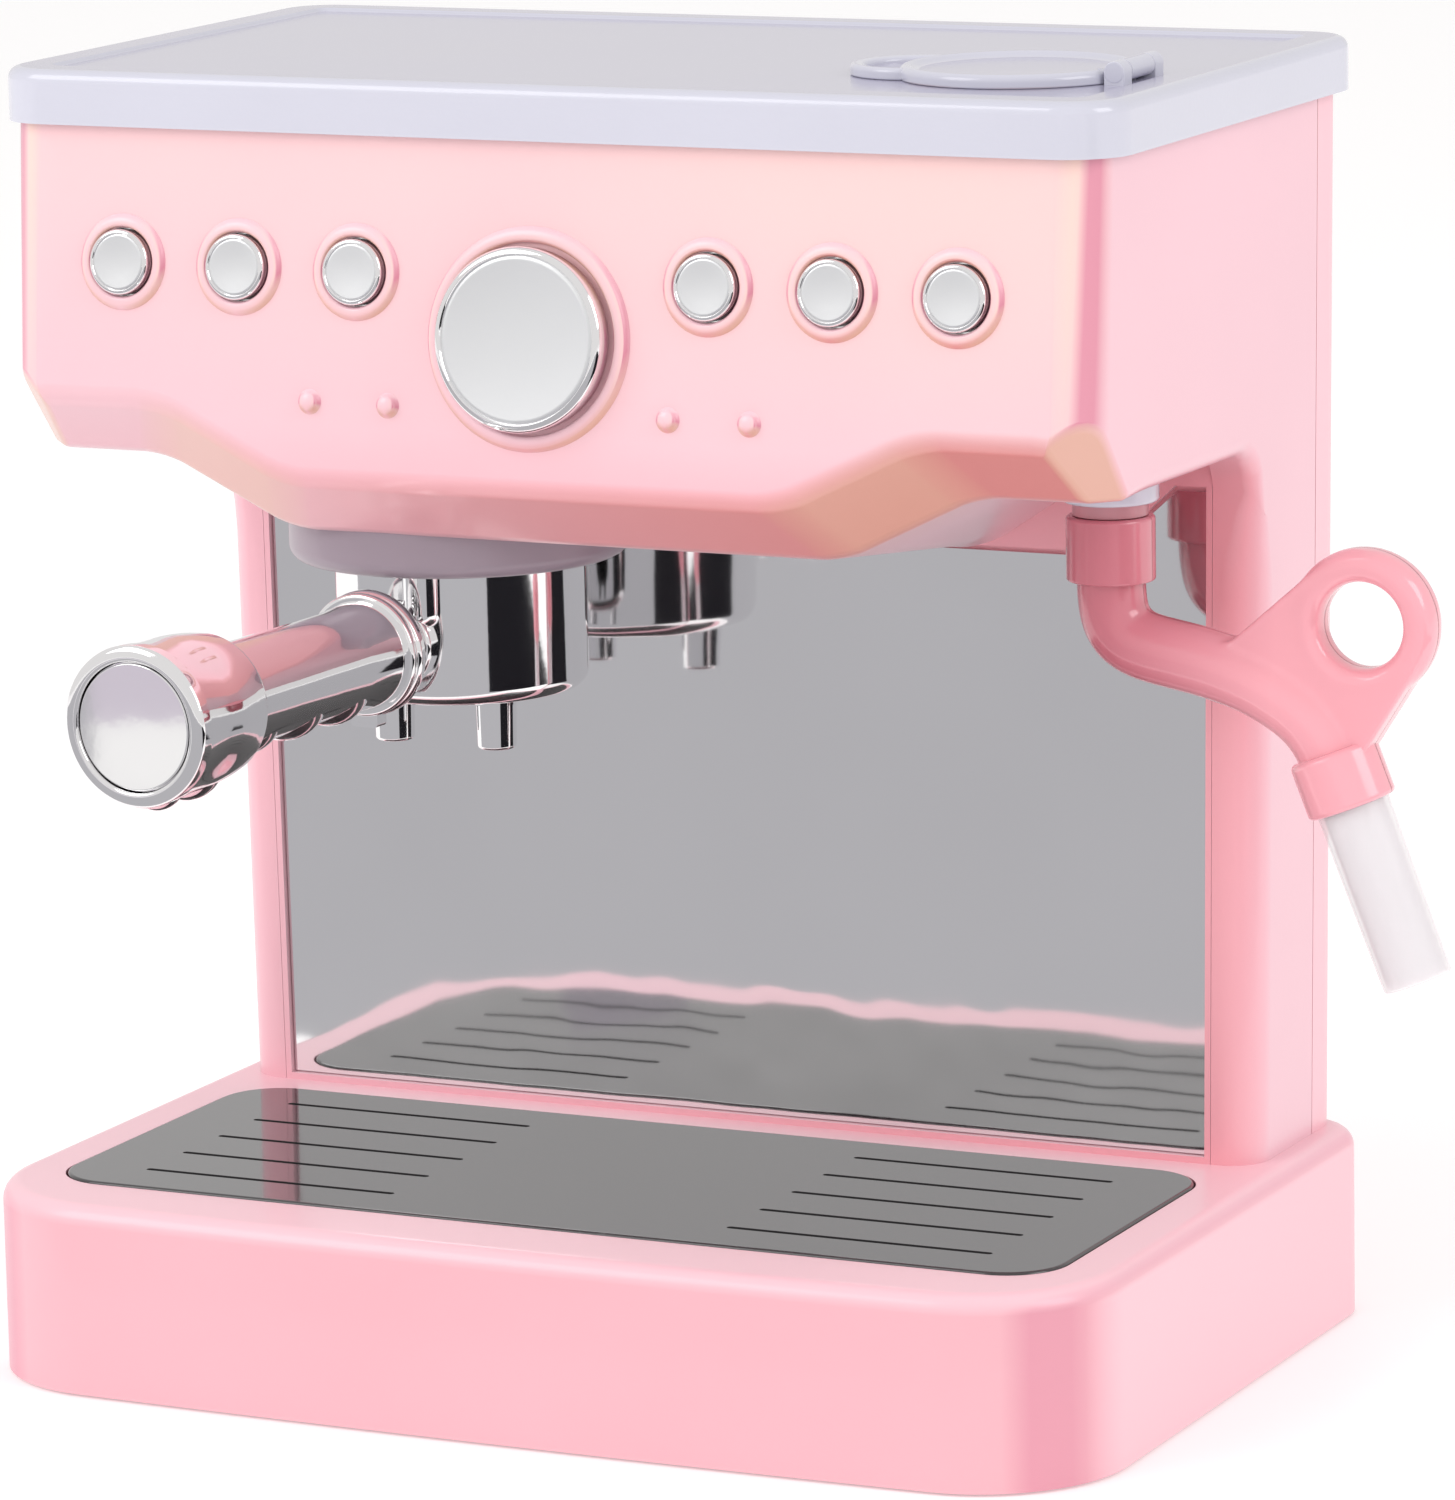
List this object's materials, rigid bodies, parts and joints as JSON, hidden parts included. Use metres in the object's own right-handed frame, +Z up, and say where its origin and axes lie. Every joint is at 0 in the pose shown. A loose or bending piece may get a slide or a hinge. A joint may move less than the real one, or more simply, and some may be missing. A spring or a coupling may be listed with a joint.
{
  "type": "toy coffee maker",
  "caption": "Toy espresso machine with drip tray, mirror backsplash, dial and push buttons, removable portafilter, swinging steam wand and a lid hatch over a water tank.",
  "frame": {"origin": "on the table under the middle of the base, at the underside of the middle foot", "axes": "+X to the right as the user faces the machine, +Y to the back, +Z up"},
  "size_m": [0.2834, 0.2074, 0.263],
  "materials": {
    "pink_shell": "pearl pink, satin gloss",
    "pearl_panel": "iridescent pearl, pink to peach and lavender",
    "lid_plastic": "pearl silver-lavender, satin gloss",
    "plated_plastic": "bright chrome plating on plastic",
    "mirror_film": "silvered film, slightly wavy",
    "grey_plate": "dark grey, glossy",
    "lavender_plastic": "frosted lavender-silver pearl",
    "clear_plastic": "frosted, translucent white",
    "inner_plastic": "moulded, unpainted",
    "encoder_plastic": "moulded black",
    "circuit_board": "laminated board, green",
    "led_resin": "diffused resin",
    "motor_metal": "sleeved metal can",
    "hose_rubber": "soft, matte",
    "foot_rubber": "soft, matte",
    "screw_steel": "plain steel"
  },
  "bodies": {
    "housing": {"base_shell": "pink_shell", "base_bottom": "inner_plastic", "foot_pads": "foot_rubber", "base_screws": "screw_steel", "column_screws": "screw_steel", "left_side_shell": "pink_shell", "right_side_shell": "pink_shell", "rear_cover": "pink_shell", "rear_screws": "screw_steel", "backsplash": "pink_shell", "backsplash_mirror": "mirror_film", "head_underside": "pink_shell", "front_panel": "pearl_panel", "dial_encoder": "encoder_plastic", "control_board": "circuit_board", "button_switches": "encoder_plastic", "indicator_leds": "led_resin", "top_cover": "lid_plastic", "hatch_hinge_pin": "screw_steel", "group_head": "lavender_plastic", "brew_nozzle": "inner_plastic", "wand_collar": "lavender_plastic", "water_tank": "clear_plastic", "pump": "motor_metal", "water_hoses": "hose_rubber", "battery_box": "inner_plastic", "battery_door": "inner_plastic", "battery_door_screw": "screw_steel", "battery_cells": "motor_metal", "battery_lead": "hose_rubber", "speaker": "encoder_plastic"},
    "tray": {"drip_tray": "inner_plastic"},
    "plate": {"drip_plate": "grey_plate"},
    "dial": {"dial": "plated_plastic"},
    "hatch": {"hatch": "lid_plastic"},
    "lock_ring": {"lock_ring": "encoder_plastic"},
    "portafilter": {"portafilter_cup": "plated_plastic", "portafilter_spouts": "plated_plastic", "handle_collar": "plated_plastic", "handle_grip": "plated_plastic", "handle_cap": "plated_plastic", "handle_end_mirror": "mirror_film"},
    "wand": {"wand_ring": "clear_plastic", "wand_front_half": "pink_shell", "wand_back_half": "pink_shell", "wand_tip": "clear_plastic"},
    "button_1": {"button_1": "plated_plastic"},
    "button_2": {"button_2": "plated_plastic"},
    "button_3": {"button_3": "plated_plastic"},
    "button_4": {"button_4": "plated_plastic"},
    "button_5": {"button_5": "plated_plastic"},
    "button_6": {"button_6": "plated_plastic"}
  },
  "joints": [
    {"name": "tray_lift", "type": "slide", "parent": "housing", "child": "tray", "axis": [0, 0, 1], "range_m": [0, 0.02]},
    {"name": "plate_lift", "type": "slide", "parent": "tray", "child": "plate", "axis": [0, 0, 1], "range_m": [0, 0.024]},
    {"name": "dial_turn", "type": "hinge", "parent": "housing", "child": "dial", "pos_m": [0, -0.0531, 0.211], "axis": [0, -0.9935, 0.1142], "range_deg": [-135, 135]},
    {"name": "hatch_hinge", "type": "hinge", "parent": "housing", "child": "hatch", "pos_m": [0.1056, -0.0061, 0.2609], "axis": [0, 1, 0], "range_deg": [0, 100]},
    {"name": "lock_ring_turn", "type": "hinge", "parent": "housing", "child": "lock_ring", "pos_m": [-0.04, -0.0066, 0.165], "axis": [0, 0, 1], "range_deg": [-45, 0]},
    {"name": "portafilter_drop", "type": "slide", "parent": "lock_ring", "child": "portafilter", "axis": [0, 0, -1], "range_m": [0, 0.026]},
    {"name": "wand_swing", "type": "hinge", "parent": "housing", "child": "wand", "pos_m": [0.0944, 0.0069, 0.165], "axis": [0, 0, 1], "range_deg": [-100, 25]},
    {"name": "button_1_press", "type": "slide", "parent": "housing", "child": "button_1", "axis": [0, 0.9935, -0.1142], "range_m": [0, 0.0012], "stiffness_N_per_m": 600},
    {"name": "button_2_press", "type": "slide", "parent": "housing", "child": "button_2", "axis": [0, 0.9935, -0.1142], "range_m": [0, 0.0012], "stiffness_N_per_m": 600},
    {"name": "button_3_press", "type": "slide", "parent": "housing", "child": "button_3", "axis": [0, 0.9935, -0.1142], "range_m": [0, 0.0012], "stiffness_N_per_m": 600},
    {"name": "button_4_press", "type": "slide", "parent": "housing", "child": "button_4", "axis": [0, 0.9935, -0.1142], "range_m": [0, 0.0012], "stiffness_N_per_m": 600},
    {"name": "button_5_press", "type": "slide", "parent": "housing", "child": "button_5", "axis": [0, 0.9935, -0.1142], "range_m": [0, 0.0012], "stiffness_N_per_m": 600},
    {"name": "button_6_press", "type": "slide", "parent": "housing", "child": "button_6", "axis": [0, 0.9935, -0.1142], "range_m": [0, 0.0012], "stiffness_N_per_m": 600}
  ]
}
